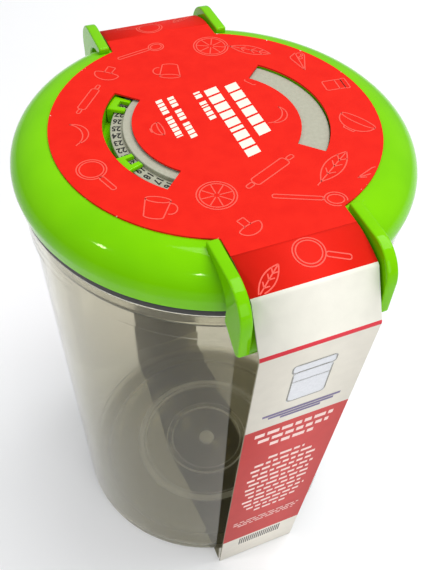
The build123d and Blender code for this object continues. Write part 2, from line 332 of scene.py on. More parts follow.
def ink(name, tone, roughness=0.45):
    """A printed layer: even colour with a light tooth."""
    finish = Finish(name, tone, roughness)
    darker = [max(channel - 10, 0) for channel in tone]
    finish.mottle(finish.noise(1500, 3), darker, tone)
    return finish.material


def raw_board():
    """Unprinted side and cut edge of the card: grey-brown pulp with short fibres, its tone darkened and made
    more olive as painted shade.
    """
    finish = Finish("raw_board", (154, 148, 126), 0.85)
    finish.mottle(finish.noise(1800, 5, (1, 0.3, 1)), SHADED_PULP_DARK, SHADED_PULP_PALE)
    finish.bump(finish.noise(3000, 3), 0.3)
    return finish.material


def printed_panel(zones):
    """Print of a panel: bands of colour one under another, found from the height on the panel."""
    finish = Finish("printed_panel", RED_PRINT, 0.65, Specular_IOR_Level=0.2, Specular_Tint=RED_GLOSS)
    height = finish.add("SeparateXYZ", {"Vector": finish.place}).outputs["Z"]
    share = finish.add("MapRange", {"Value": height, "From Max": card_top_z * METRE})
    bands = finish.add("ValToRGB", {"Fac": share.outputs["Result"]})
    bands.color_ramp.interpolation = "CONSTANT"
    elements = bands.color_ramp.elements
    for index, (low_edge, tone) in enumerate(zones):
        place = low_edge / card_top_z
        element = elements[index] if index < 2 else elements.new(place)
        element.position = place
        element.color = linear(*tone)
    shade = finish.between(finish.noise(220, 5), (0.95, 0.95, 0.95, 1), (1, 1, 1, 1))
    finish.drive("Base Color", finish.mix(1.0, bands.outputs["Color"], shade, "MULTIPLY"))
    finish.bump(finish.noise(1600, 4), 0.12)
    return finish.material


def pale_floor():
    """Plain pale floor with a barely uneven tone."""
    finish = Finish("pale_floor", (224, 224, 224), 0.8, Specular_IOR_Level=0.2)
    finish.mottle(finish.noise(3, 2), (222, 222, 223), (226, 226, 226))
    finish.shader.inputs["Emission Color"].default_value = (1, 1, 1, 1)
    finish.shader.inputs["Emission Strength"].default_value = 0.18
    return finish.material


LIME = green_plastic()
CLEAR = clear_plastic()
THICK = thick_plastic()
RIB_HIGHLIGHT = satin_plastic()
PALE = pale_plastic()
SEAL = rubber("seal_rubber", (34, 32, 30), 0.5)
SILICONE = rubber("milky_silicone", (206, 206, 198), 0.45)
SCALE_GREY = grey_plastic("scale_grey", (162, 161, 142))
COVER_GREY = grey_plastic("cover_grey", (168, 167, 149))
BLACK_INK = ink("black_ink", (26, 25, 22))
PINK_INK = ink("pale_red_ink", (232, 84, 68), 0.65)
WHITE_INK = ink("white_ink", (236, 229, 212))
GREY_INK = ink("grey_ink", (150, 148, 140))
PALE_INK = ink("pale_blue_ink", (222, 224, 228))
VIOLET_INK = ink("violet_ink", (112, 100, 140))
SHADED_BOARD = raw_board()
CREAM = ink("cream_print", (244, 240, 228))
NOTE_INK = ink("note_ink", (246, 212, 204))

# Mesh making


def finish_piece(name, mesh, materials, body, node=None):
    """Links a mesh as a piece that rides on a body and may stand for a CAD node."""
    piece = add_object(name, mesh)
    for material in materials:
        mesh.materials.append(material)
    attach(piece, body)
    if node:
        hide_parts(node)


def dress_node(node, material):
    """A CAD node that keeps its form takes a material."""
    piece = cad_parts[node]
    piece.data.materials.clear()
    piece.data.materials.append(material)


def grid_faces(rows, columns, wrap_rows, wrap_columns):
    """Quads of a grid of points, as an array of four indices each."""
    row = np.arange(rows if wrap_rows else rows - 1)
    column = np.arange(columns if wrap_columns else columns - 1)
    i, j = np.meshgrid(row, column, indexing="ij")
    next_i = (i + 1) % rows
    next_j = (j + 1) % columns
    corners = [i * columns + j, i * columns + next_j, next_i * columns + next_j, next_i * columns + j]
    return np.stack(corners, axis=-1).reshape(-1, 4)


def mesh_from(name, points, faces, smooth=True, merge=0.0):
    """A mesh from points in millimetres and faces, with doubles merged and normals turned outwards."""
    mesh = bpy.data.meshes.new(name)
    mesh.from_pydata((np.asarray(points).reshape(-1, 3) * METRE).tolist(), [], [tuple(f) for f in faces])
    edit = bmesh.new()
    edit.from_mesh(mesh)
    if merge:
        bmesh.ops.remove_doubles(edit, verts=edit.verts, dist=merge * METRE)
    bmesh.ops.recalc_face_normals(edit, faces=edit.faces)
    edit.to_mesh(mesh)
    edit.free()
    mesh.polygons.foreach_set("use_smooth", np.full(len(mesh.polygons), smooth))
    return mesh


def round_corners(corners, closed=False, arc_steps=6):
    """A polyline whose corners become arcs: each corner is (x, y, radius). The arc's centre lies on the
    bisector, its ends at radius * tan(turn / 2) from the corner, with a guard point just outside each end."""
    count = len(corners)
    points = []
    for index, (x, y, radius) in enumerate(corners):
        here = np.array([x, y], float)
        if radius == 0 or (not closed and index in (0, count - 1)):
            points.append(here)
            continue
        before = np.array(corners[index - 1][:2], float) - here
        after = np.array(corners[(index + 1) % count][:2], float) - here
        before_length = np.linalg.norm(before)
        after_length = np.linalg.norm(after)
        before /= before_length
        after /= after_length
        half = math.acos(np.clip(before @ after, -1, 1)) / 2
        reach = min(radius / math.tan(half), 0.45 * before_length, 0.45 * after_length)
        actual = reach * math.tan(half)
        centre = here + (before + after) / np.linalg.norm(before + after) * actual / math.sin(half)
        start = here + before * reach - centre
        end = here + after * reach - centre
        sweep = math.pi - 2 * half
        turn = np.linspace(0, 1, arc_steps + 1)[:, None]
        arc = (np.sin((1 - turn) * sweep) * start + np.sin(turn * sweep) * end) / math.sin(sweep)
        guard = 0.2 * reach
        points.append(here + before * (reach + guard))
        points.extend(arc + centre)
        points.append(here + after * (reach + guard))
    return np.array(points)


def ellipse(x, y, wide, high, start=0, end=360, steps=40):
    """Points (x + wide * cos a, y + high * sin a) with a from start to end in degrees."""
    angle = np.radians(np.linspace(start, end, steps))
    return np.stack([x + wide * np.cos(angle), y + high * np.sin(angle)], axis=-1)


def turned(angle, radius, height):
    """Points (r cos a, r sin a, z), a row for each angle a. The radii can differ from row to row."""
    x = radius * np.cos(angle)[:, None]
    y = radius * np.sin(angle)[:, None]
    return np.stack([x, y, np.tile(height, (len(angle), 1))], axis=-1)


def lathe(name, outline, closed, steps=240):
    """A solid of revolution: each outline point (r, z) goes round as (r cos a, r sin a, z)."""
    radius, height = np.asarray(outline).T
    points = turned(np.linspace(0, 2 * math.pi, steps, endpoint=False), radius, height)
    return mesh_from(name, points, grid_faces(steps, len(radius), True, closed), merge=0.0005)


def turned_piece(name, outline, closed, material, body, node, steps=240):
    """A solid of revolution as a piece that stands for a CAD node."""
    finish_piece(name, lathe(name, outline, closed, steps), [material], body, node)


def vertex_places(mesh):
    """The places of a mesh's vertices, a row for each, in the mesh's own unit."""
    places = np.zeros(len(mesh.vertices) * 3)
    mesh.vertices.foreach_get("co", places)
    return places.reshape(-1, 3)


def distances_along(line):
    """The distance of each point of a line from its first point, measured along the line."""
    return np.concatenate([[0], np.cumsum(np.linalg.norm(np.diff(line, axis=0), axis=1))])


def side_normals(outline, closed):
    """Unit normals of a flat outline, to the right of its direction, from central differences."""
    if closed:
        ahead = np.roll(outline, -1, 0) - np.roll(outline, 1, 0)
    else:
        ahead = np.gradient(outline, axis=0)
    ahead /= np.maximum(np.linalg.norm(ahead, axis=1, keepdims=True), 1e-9)
    return np.stack([ahead[:, 1], -ahead[:, 0]], axis=-1)


def rounded_plate(name, outline, x_low, x_high, edge_radius, side):
    """A plate from a closed outline (y, z), counterclockwise: its rim is a quarter circle at each face, so
    layer k is the outline moved in by edge_radius * (1 - cos a) and across by edge_radius * (1 - sin a)."""
    quarter = np.linspace(0, math.pi / 2, 5)
    inward = edge_radius * (1 - np.cos(quarter))
    across = edge_radius * (1 - np.sin(quarter))
    shifts = np.concatenate([inward[::-1], inward])
    places = np.concatenate([x_low + across[::-1], x_high - across])
    outline = np.asarray(outline)
    outward = side_normals(outline, True)
    layers = []
    for shift, place in zip(shifts, places):
        moved = outline - outward * shift
        layers.append(np.stack([np.full(len(outline), place), side * moved[:, 0], moved[:, 1]], axis=-1))
    count = len(outline)
    faces = [tuple(f) for f in grid_faces(len(layers), count, False, True)]
    last = (len(layers) - 1) * count
    faces.append(tuple(range(count)))
    faces.append(tuple(range(last, last + count)))
    mesh = mesh_from(name, np.array(layers), faces)
    mesh.polygons[len(faces) - 1].use_smooth = False
    mesh.polygons[len(faces) - 2].use_smooth = False
    return mesh


def strip_faces(count):
    """Quads between two rows of points, the second row after the first."""
    i = np.arange(count - 1)
    return np.stack([i, i + 1, i + 1 + count, i + count], axis=-1)


def bent_strip(name, outer, inner, half_width, side):
    """A bent sheet across x: the outer line, the inner line, both edges and both ends. Printed faces come
    first and take material 0, the rest take material 1."""
    count = len(outer)
    rows = []
    for line in (outer, inner):
        for x in (-half_width, half_width):
            rows.append(np.stack([np.full(count, x), side * line[:, 0], line[:, 1]], axis=-1))
    quads = strip_faces(count)
    pairs = [(0, 1), (2, 3), (0, 2), (1, 3)]
    faces = []
    for first, second in pairs:
        shift = np.where(quads < count, first * count, (second - 1) * count)
        faces.append(quads + shift)
    ends = [[0, count, 3 * count, 2 * count], [count - 1, 2 * count - 1, 4 * count - 1, 3 * count - 1]]
    faces = np.concatenate(faces + [np.array(ends)])
    mesh = mesh_from(name, np.array(rows), faces)
    plain = np.ones(len(faces), int)
    plain[: count - 1] = 0
    mesh.polygons.foreach_set("material_index", plain)
    smooth = np.zeros(len(faces), bool)
    smooth[: 2 * (count - 1)] = True
    mesh.polygons.foreach_set("use_smooth", smooth)
    return mesh


def join_meshes(name, parts):
    """One mesh from a list of (points, faces) pairs."""
    points = []
    faces = []
    start = 0
    for part_points, part_faces in parts:
        points.append(np.asarray(part_points).reshape(-1, 3))
        faces.extend([tuple(int(i) + start for i in face) for face in part_faces])
        start += len(points[-1])
    mesh = bpy.data.meshes.new(name)
    mesh.from_pydata((np.concatenate(points) * METRE).tolist(), [], faces)
    mesh.polygons.foreach_set("use_smooth", np.zeros(len(mesh.polygons), bool))
    return mesh


def print_piece(name, parts, material, body):
    """A printed layer."""
    finish_piece(name, join_meshes(name, parts), [material], body)


# Canister

# Floor marks, in millimetres: middle radius, width and height of each rib, then the gate mark's
floor_ribs = ((47.0, 2.4, 0.7), (31.0, 3.8, 0.9), (17.8, 3.0, 0.9))
gate_width, gate_height = 7.2, 1.2
# Where their painted highlight, a pale milky colour, goes: the flanks of ribs within a reach, a line on one
# crown, and the gate mark
highlight_flank_reach, highlight_flank_low, highlight_flank_high = 40.0, 0.05, 0.6
highlight_crown_radius, highlight_crown_half = 31.6, 1.0
gate_highlight_radius = 3.4


def rib_bump(radius, width, height, steps=13):
    """A rib with a flat crown and steep flanks: height times (1 - s ** 4), where s is the place across it."""
    share = np.linspace(-1, 1, steps)
    rise = height * (1 - share**4)
    return np.stack([radius - share * width / 2, floor_top_z + rise], axis=-1)


def make_canister():
    """Clear wall, rim band with its step, foot ring, and the darker floor whose ribs and gate mark carry a
    painted highlight in a pale milky colour.
    """
    inner_top = wall_top_radius - wall_thickness
    inner_base = base_radius - wall_thickness
    foot_inner = base_radius - corner_radius - foot_width
    shell = round_corners(
        [
            (0, floor_under_z, 0),
            (foot_inner, floor_under_z, 0.6),
            (foot_inner, foot_z, 0.6),
            (base_radius, foot_z, corner_radius),
            (wall_top_radius, band_z - 1.2, 0.3),
            (rim_radius, band_z, 0.3),
            (rim_radius, rim_z, 0.7),
            (inner_top, rim_z, 0.7),
            (inner_base, floor_top_z, 3.0),
            (inner_base - 5.0, floor_top_z, 0),
        ]
    )
    ribs = [rib_bump(*rib) for rib in floor_ribs]
    gate = rib_bump(0.0, gate_width, gate_height)
    gate = gate[: len(gate) // 2 + 1]
    gate[-1, 0] = 0.0
    mesh = lathe("canister_wall", np.concatenate([shell] + ribs + [gate]), False)
    x, y, z = (vertex_places(mesh) / METRE).T
    reach, height = np.hypot(x, y), z - floor_top_z
    # Rib flanks, one crown line and the gate mark take the pale colour painted as highlight
    on_floor = (height < 2.0) & (reach < inner_base)
    raised = on_floor & (height > highlight_flank_low)
    on_painted_highlight = raised & (height < highlight_flank_high) & (reach < highlight_flank_reach)
    on_painted_highlight |= raised & (np.abs(reach - highlight_crown_radius) < highlight_crown_half)
    on_painted_highlight |= on_floor & (reach < gate_highlight_radius) & (height > -0.1)
    corner_points = np.zeros(len(mesh.loops), int)
    first_corners = np.zeros(len(mesh.polygons), int)
    mesh.loops.foreach_get("vertex_index", corner_points)
    mesh.polygons.foreach_get("loop_start", first_corners)
    any_painted_highlight = np.logical_or.reduceat(on_painted_highlight[corner_points], first_corners)
    all_floor = np.logical_and.reduceat(on_floor[corner_points], first_corners)
    mesh.polygons.foreach_set("material_index", np.where(any_painted_highlight, 2, np.where(all_floor, 1, 0)))
    finish_piece("canister_wall", mesh, [CLEAR, THICK, RIB_HIGHLIGHT], "canister", "canister")


# Lid


def shoulder_curve(depth, start, end, steps=28):
    """The lid's elliptical shoulder, or the line at a depth inside it, from start to end in degrees."""
    wide, high = shoulder_width - depth, lid_top_z - shoulder_z - depth
    return ellipse(shoulder_start, shoulder_z, wide, high, start, end, steps)


def make_lid():
    """Lid shell as one turned form: recess, flat top, elliptical shoulder, lip, and the wall's inside."""
    inner = round_corners(
        [
            (valve_hole_radius, recess_floor_z, 0),
            (recess_radius, recess_floor_z, 0.5),
            (recess_radius, lid_top_z, 0.5),
            (shoulder_start - 1, lid_top_z, 0),
        ]
    )
    crest = shoulder_curve(0.0, 90, 0)
    lip = round_corners(
        [
            (lid_radius - 0.05, shoulder_z - 0.5, 0),
            (lip_radius, lid_edge_z, 0.6),
            (lip_radius - lid_wall, lid_edge_z, 0.5),
            (lid_radius - lid_wall, shoulder_z - 0.5, 0),
        ]
    )
    hollow = shoulder_curve(lid_wall, 0, 90)
    under = round_corners(
        [
            (shoulder_start - 1, lid_top_z - lid_wall, 0),
            (recess_radius + lid_wall, lid_top_z - lid_wall, 0.5),
            (recess_radius + lid_wall, liner_top_z, 0.4),
            (recess_radius, liner_top_z, 0.4),
            (recess_radius, recess_under_z, 0.5),
            (valve_hole_radius, recess_under_z, 0),
        ]
    )
    outline = np.concatenate([inner, crest, lip, hollow, under])
    turned_piece("lid_dome", outline, True, LIME, "lid", "lid_shell")


def fin_outline():
    """Side view of a fin: blunt start on the lid, level top, elliptical bend, straight drop, chamfered tip
    and the slanting underside, then back through the middle of the lid's wall."""
    middle = lid_wall / 2
    fin_base_z = lid_top_z - middle
    outside = round_corners(
        [
            (fin_root, lid_edge_z + 0.3, 0),
            (fin_reach - 2 * tip_chamfer, tip_z, 0.6),
            (fin_reach - tip_chamfer, tip_z, 0.5),
            (fin_reach, tip_z + tip_chamfer, 0.5),
            (fin_reach, fin_bend_z, 0),
        ]
    )
    wide, high = fin_reach - fin_shoulder, fin_top_z - fin_bend_z
    bend = ellipse(fin_shoulder, fin_bend_z, wide, high, 0, 90, 28)
    start = round_corners(
        [(fin_shoulder - 0.5, fin_top_z, 0), (fin_start, fin_top_z, 0.7), (fin_start, fin_base_z, 0)]
    )
    hidden = shoulder_curve(middle, 90, 0, 16)
    return np.concatenate([outside, bend[1:], start, hidden[:-1]])


def make_grips():
    """Four fins, and between each pair the bent web that carries the pull."""
    outline = fin_outline()
    web = [
        (shoulder_start + 0.2, lid_top_z - 0.8, 0),
        (web_fold_reach, lid_top_z - 3.9, web_bend),
        (fin_reach - 0.2, lid_top_z - 15.6, web_bend),
        (fin_reach - 0.8, tip_z, 0),
    ]
    outer = round_corners(web, arc_steps=12)
    inner = outer + side_normals(outer, False) * web_thickness
    for side, end_name in ((-1, "front"), (1, "back")):
        for hand, x_low in (("left", -fin_inner_x - fin_thickness), ("right", fin_inner_x)):
            name = f"grip_fin_{end_name}_{hand}"
            mesh = rounded_plate(name, outline, x_low, x_low + fin_thickness, 0.5, side)
            finish_piece(name, mesh, [LIME], "lid")
        name = f"grip_web_{end_name}"
        mesh = bent_strip(name, outer, inner, fin_inner_x + 0.4, side)
        mesh.polygons.foreach_set("material_index", np.zeros(len(mesh.polygons), int))
        finish_piece(name, mesh, [LIME], "lid")


def make_lid_parts():
    """Seal ring, underside with its skirt, and number plate, all turned forms."""
    below = [(seal_inner, seal_low_z, 0.4), (seal_outer, seal_low_z, 0.9)]
    above = [(seal_outer, lid_edge_z, 0.7), (seal_inner, lid_edge_z, 0.4)]
    outline = round_corners(below + above, closed=True)
    turned_piece("rim_seal", outline, True, SEAL, "lid", "seal_ring")
    rim = lip_radius - lid_wall - 0.3
    outline = round_corners(
        [
            (chimney_inner, lid_edge_z, 0.4),
            (skirt_radius - skirt_wall, lid_edge_z, 0.8),
            (skirt_radius - skirt_wall, skirt_low_z, 0.5),
            (skirt_radius, skirt_low_z, 0.7),
            (skirt_radius, lid_edge_z, 0.2),
            (rim, lid_edge_z, 0.2),
            (rim, liner_top_z, 0.3),
            (chimney_outer, liner_top_z, 0.4),
            (chimney_outer, chimney_top_z, 0.3),
            (chimney_inner, chimney_top_z, 0.3),
        ],
        closed=True,
    )
    turned_piece("lid_underside", outline, True, PALE, "lid", "lid_liner")
    outline = round_corners(
        [
            (well_radius, recess_floor_z, 0.2),
            (undercut_radius, recess_floor_z, 0.2),
            (undercut_radius, undercut_top_z, 0.1),
            (plate_radius, undercut_top_z, 0.2),
            (plate_radius, plate_top_z, 0.25),
            (well_radius, plate_top_z, 0.2),
        ],
        closed=True,
    )
    turned_piece("day_plate", outline, True, SCALE_GREY, "lid", "number_plate")


def make_valve():
    """Flap with its stem and barb, and the cap that is pinched to lift it."""
    outline = round_corners(
        [
            (0, post_top_z, 0),
            (post_radius, post_top_z, 0.3),
            (post_radius, flap_top_z, 0.2),
            (flap_radius - 2.2, flap_top_z, 0.2),
            (flap_radius, recess_floor_z + 0.6, 0.2),
            (flap_radius, recess_floor_z, 0.2),
            (stem_radius, recess_floor_z, 0.2),
            (stem_radius, barb_top_z, 0.2),
            (barb_radius, barb_top_z, 0.3),
            (stem_radius, stem_low_z, 0.3),
            (0, stem_low_z, 0),
        ]
    )
    turned_piece("valve_lip", outline, False, SILICONE, "valve", "valve_flap", 96)
    gap = 0.05
    outline = round_corners(
        [
            (0, knob_top_z, 0),
            (knob_radius, knob_top_z, 0.6),
            (knob_radius, knob_low_z, 0.2),
            (post_radius + gap, knob_low_z, 0.2),
            (post_radius + gap, post_top_z + gap, 0.2),
            (0, post_top_z + gap, 0),
        ]
    )
    turned_piece("valve_cap", outline, False, COVER_GREY, "valve", "valve_knob", 96)


def day_angle(day):
    """Angle of a day on the scale, in degrees: clockwise, the early ones closer together."""
    early_steps = min(day, early_day_count) - 1
    late_steps = max(day - early_day_count, 0)
    return first_day_angle - early_steps * early_day_step - late_steps * day_step


def make_cover():
    """The cover's outer radius is the full one outside the scale's stretch and the ledge's inside it. Each
    profile point is held from the inner or the outer radius, and the stretch's ends are double columns."""
    margin = pointer_half_angle + track_end_margin
    start = day_angle(day_count) - margin
    end = first_day_angle + margin
    inside = np.linspace(start, end, 160)
    outside = np.linspace(end, start + 360, 160)
    angle = np.radians(np.concatenate([inside, outside]))
    outer = np.concatenate([np.full(len(inside), cover_ledge_radius), np.full(len(outside), cover_radius)])
    edge = 0.35
    drawn_width = 10.0
    below = [(0, plate_top_z, edge / 2), (drawn_width, plate_top_z, edge / 2)]
    above = [(drawn_width, cover_top_z, edge), (0, cover_top_z, edge)]
    profile = round_corners(below + above, closed=True)
    from_outer = profile[:, 0] > drawn_width / 2
    offset = np.where(from_outer, profile[:, 0] - drawn_width, profile[:, 0])
    radius = np.where(from_outer[None, :], outer[:, None], well_radius) + offset[None, :]
    points = turned(angle, radius, profile[:, 1])
    mesh = mesh_from("plate_cover", points, grid_faces(len(angle), len(profile), True, True))
    finish_piece("plate_cover", mesh, [COVER_GREY], "lid", "scale_cover")


def make_day_numbers():
    """Each number is read outwards along its radius: text x runs along the radius, text y round the scale."""
    digit_height = 2.3
    longest = 3.2
    slimness = 1.6
    centre_radius = 28.45
    thickness = 0.03
    parts = []
    for day in range(1, day_count + 1):
        words = bpy.data.curves.new(f"day_{day}", "FONT")
        words.body = str(day)
        words.extrude = 0.5
        words.resolution_u = 3
        words.offset = 0.03
        text = bpy.data.objects.new(f"day_{day}", words)
        flat = bpy.data.meshes.new_from_object(text)
        points = vertex_places(flat)
        faces = [tuple(polygon.vertices) for polygon in flat.polygons]
        points -= (points.max(0) + points.min(0)) / 2
        size = np.ptp(points, axis=0)
        wide = min(longest * size[0] / size[1] / slimness, longest)
        across = points[:, 0] / size[0] * wide + centre_radius
        round_way = points[:, 1] / size[1] * digit_height
        angle = math.radians(day_angle(day))
        outward = np.array([math.cos(angle), math.sin(angle)])
        sideways = np.array([-math.sin(angle), math.cos(angle)])
        flat_place = across[:, None] * outward + round_way[:, None] * sideways
        height = plate_top_z + (points[:, 2:] / size[2] + 0.5) * thickness
        parts.append((np.concatenate([flat_place, height], axis=1), faces))
        bpy.data.objects.remove(text)
        bpy.data.curves.remove(words)
        bpy.data.meshes.remove(flat)
    print_piece("day_numbers", parts, BLACK_INK, "lid")


# Card sleeve

fold_one = (62.5, card_top_z - 3.2)
fold_two = (69.8, card_top_z - 17.1)
panel_foot = (58.5, foot_z)
fold_radius = 1.4
panel_start = (flat_reach - 0.1, card_top_z - 0.01)
panel_pull = (55.5, card_top_z - 0.1)
picture_bottom_z = 125.7
notes_bottom_z = 24.0
red_line_height = 1.0


def panel_line():
    """Outer side of a panel: a quadratic curve that leaves the disc level and bends down to the first fold,
    then straight to the second fold and to the foot."""
    share = np.linspace(0, 1, 14)[:-1, None]
    start, pull, fold = np.array([panel_start, panel_pull, fold_one])
    curve = start * (1 - share) ** 2 + 2 * pull * share * (1 - share) + fold * share**2
    corners = [(*curve[-1], 0), (*fold_one, fold_radius), (*fold_two, fold_radius), (*panel_foot, 0)]
    return np.concatenate([curve[:-1], round_corners(corners, arc_steps=8)])


def make_panels():
    """Front and back panel, each printed outside and raw inside."""
    zones = [
        (0, (246, 242, 230)),
        (notes_bottom_z, (206, 74, 72)),
        (picture_bottom_z, (228, 224, 211)),
        (fold_two[1] - red_line_height, (216, 60, 72)),
        (fold_two[1], (230, 228, 216)),
        (fold_one[1] + 0.1, RED_PRINT),
    ]
    printed = printed_panel(zones)
    outer = panel_line()
    inner = outer + side_normals(outer, False) * card_thickness
    inner[0, 0] = outer[0, 0]
    for side, name, node in ((-1, "card_front", "sleeve_front"), (1, "card_back", "sleeve_back")):
        mesh = bent_strip(name, outer, inner, strap_half_width, side)
        finish_piece(name, mesh, [printed, SHADED_BOARD], node, node)


def make_base_strip():
    """The strip under the canister with its two tabs, one bent sheet."""
    reach, top = strip_reach, tab_top_z
    outer = round_corners([(-reach, top, 0), (-reach, 0, 1.0), (reach, 0, 1.0), (reach, top, 0)])
    inner = outer - side_normals(outer, False) * card_thickness
    mesh = bent_strip("card_strip", outer, inner, strap_half_width, 1)
    finish_piece("card_strip", mesh, [CREAM, SHADED_BOARD], "canister", "base_strip")


def worn_edge(finish):
    """1 in scattered specks along the disc's round edge, 0 elsewhere. It is the product of three tests: the
    distance from the axis is high, x is past the strap's edge, and a fine noise is high."""
    worn_width = 0.45
    beside_strap = 0.4
    rareness = 0.655
    flat = finish.add("Mapping", {"Vector": finish.place, "Scale": (1, 1, 0)}).outputs["Vector"]
    distance = finish.add("VectorMath", {0: flat}, operation="LENGTH").outputs["Value"]
    across = finish.add("SeparateXYZ", {"Vector": finish.place}).outputs["X"]
    aside = finish.add("Math", {0: across}, operation="ABSOLUTE").outputs["Value"]
    product = finish.over(distance, (disc_radius - worn_width) * METRE)
    tests = (aside, (strap_half_width + beside_strap) * METRE), (finish.noise(420, 3), rareness)
    for value, limit in tests:
        factors = {0: product, 1: finish.over(value, limit)}
        product = finish.add("Math", factors, operation="MULTIPLY").outputs["Value"]
    return product


def dress_card_top():
    """The disc keeps its CAD form. Its top and its cut edge are printed, with worn specks along the edge, and
    faces that look down are raw."""
    finish = Finish("printed_disc", RED_PRINT, 0.65, Specular_IOR_Level=0.2, Specular_Tint=RED_GLOSS)
    upward = finish.add("SeparateXYZ", {"Vector": finish.facing}).outputs["Z"]
    printed = finish.over(upward, -0.5)
    red = finish.between(finish.noise(220, 5), linear(212, 24, 11), linear(219, 30, 15))
    # Faces that look down take the pulp tones darkened as painted shade
    board = finish.between(finish.noise(1800, 5), linear(*SHADED_PULP_DARK), linear(*SHADED_PULP_PALE))
    worn = finish.mix(worn_edge(finish), red, linear(214, 206, 188))
    finish.drive("Base Color", finish.mix(printed, board, worn))
    finish.bump(finish.noise(1600, 4), 0.12)
    dress_node("sleeve_top", finish.material)


# Print: thin layers of ink over the card, in millimetres. A drawing is a list of lines about 2 units long.

ink_lift = 0.04
fine_line, bold_line = 0.34, 0.5
strap_margin = 0.3


def tin(x, y, wide, high, bend):
    """A rounded box round (x, y), as a closed line."""
    signs = ((-1, -1), (1, -1), (1, 1), (-1, 1))
    corners = [(x + a * wide, y + b * high, bend) for a, b in signs]
    line = round_corners(corners, closed=True, arc_steps=5)
    return np.concatenate([line, line[:1]])


def drawn(*corners):
    """A line through the given points, evenly divided so that it can follow a bent card."""
    corners = np.array(corners, float)
    lengths = distances_along(corners)
    along = np.linspace(0, lengths[-1], 24)
    return np.stack([np.interp(along, lengths, corners[:, k]) for k in range(2)], axis=-1)


def ladle():
    """Round scoop on a long handle."""
    return [ellipse(0.68, 0, 0.3, 0.26), ellipse(0.68, 0, 0.22, 0.17), tin(-0.3, 0, 0.66, 0.07, 0.06)]


def cup():
    """Cup with a round rim and one ear."""
    return [
        ellipse(0, 0.45, 0.5, 0.16),
        drawn((-0.5, 0.45), (-0.38, -0.5)),
        drawn((0.5, 0.45), (0.38, -0.5)),
        ellipse(0, -0.5, 0.38, 0.12, 180, 360),
        ellipse(0.56, 0.02, 0.26, 0.3, -100, 100),
    ]


def pan():
    """Shallow pan from above, with its handle."""
    return [ellipse(-0.35, 0, 0.52, 0.52), ellipse(-0.35, 0, 0.42, 0.42), tin(0.58, 0, 0.4, 0.09, 0.08)]


def citrus():
    """Slice of citrus: rind, flesh and segments."""
    spokes = [
        drawn((0.12 * math.cos(a), 0.12 * math.sin(a)), (0.68 * math.cos(a), 0.68 * math.sin(a)))
        for a in np.radians(np.arange(0, 360, 45))
    ]
    return [ellipse(0, 0, 0.85, 0.85), ellipse(0, 0, 0.72, 0.72)] + spokes


def leaf():
    """Pointed leaf with a vein and side veins."""
    share = np.linspace(-1, 1, 30)
    edge = 0.34 * (1 - share**2)
    lines = [np.stack([share, edge], -1), np.stack([share, -edge], -1), drawn((-1.25, 0), (0.9, 0))]
    return lines + [drawn((x, 0), (x + 0.25, y)) for x in (-0.5, 0, 0.4) for y in (0.2, -0.2)]


def bowl():
    """Deep bowl with a rim and a foot."""
    return [
        ellipse(0, 0.25, 0.85, 0.2),
        ellipse(0, 0.25, 0.85, 0.75, 180, 360),
        drawn((-0.28, -0.48), (-0.24, -0.6), (0.24, -0.6), (0.28, -0.48)),
    ]


def rolling_pin():
    """Barrel with a knob at each end."""
    return [tin(0, 0, 0.7, 0.16, 0.1), tin(-0.86, 0, 0.13, 0.07, 0.06), tin(0.86, 0, 0.13, 0.07, 0.06)]


def mushroom():
    """Cap and stalk."""
    return [
        ellipse(0, 0.1, 0.62, 0.5, 0, 180),
        ellipse(0, 0.1, 0.62, 0.14, 180, 360),
        drawn((-0.18, -0.02), (-0.2, -0.55), (0.2, -0.55), (0.18, -0.02)),
    ]


def wedge():
    """Wedge of cheese with holes."""
    return [
        drawn((-0.8, -0.2), (0.8, -0.35), (0.8, 0.15), (-0.8, -0.2), (0.35, 0.5), (0.8, 0.15)),
        ellipse(0.35, -0.1, 0.12, 0.09),
        ellipse(0.6, -0.18, 0.07, 0.06),
    ]


def jar():
    """Straight jar with a lid and a level line."""
    level = drawn((-0.42, 0.05), (0.42, 0.05))
    return [tin(0, -0.15, 0.42, 0.55, 0.12), tin(0, 0.52, 0.46, 0.13, 0.08), level]


def chilli():
    """Curved pod with its stalk."""
    turn = np.radians(np.linspace(200, 330, 30))
    width = 0.14 * np.sin(np.linspace(0.25, math.pi, 30))
    sides = [np.stack([r * np.cos(turn), 0.5 + r * np.sin(turn)], -1) for r in (0.8 + width, 0.8 - width)]
    return sides + [drawn((-0.72, 0.2), (-0.86, 0.5))]


def on_top(x, y):
    """The card disc's printed side."""
    return np.stack([x, y, np.full_like(x, card_top_z + ink_lift)], axis=-1)


def on_panel(side):
    """The panel's printed side: y is a distance along the panel from where it leaves the disc."""
    line = panel_line()
    along = distances_along(line)
    lifted = line - side_normals(line, False) * ink_lift

    def place(x, y):
        reach = np.interp(y, along, lifted[:, 0])
        height = np.interp(y, along, lifted[:, 1])
        return np.stack([-side * x, side * reach, height], axis=-1)

    return place


def panel_distance(z):
    """Distance along the panel at which its outer side is at height z."""
    line = panel_line()
    return float(np.interp(-z, -line[:, 1], distances_along(line)))


def line_ink(line, width, place, keep):
    """A drawn line as a ribbon of ink; stretches where keep(x, y) is false are left out."""
    normal = side_normals(np.asarray(line, float), False) * width / 2
    x, y = np.moveaxis(np.stack([line - normal, line + normal]), -1, 0)
    good = keep(x, y).all(axis=0)
    return place(x, y), strip_faces(len(line))[good[:-1] & good[1:]]


def scatter(layout, place, keep, width):
    """Ink ribbons of a layout of (drawing, x, y, turn in degrees, half length)."""
    parts = []
    for drawing, x, y, turn, half_length in layout:
        a = math.radians(turn)
        spin = np.array([[math.cos(a), math.sin(a)], [-math.sin(a), math.cos(a)]])
        for line in drawing():
            parts.append(line_ink(line @ spin * half_length + (x, y), width, place, keep))
    return parts


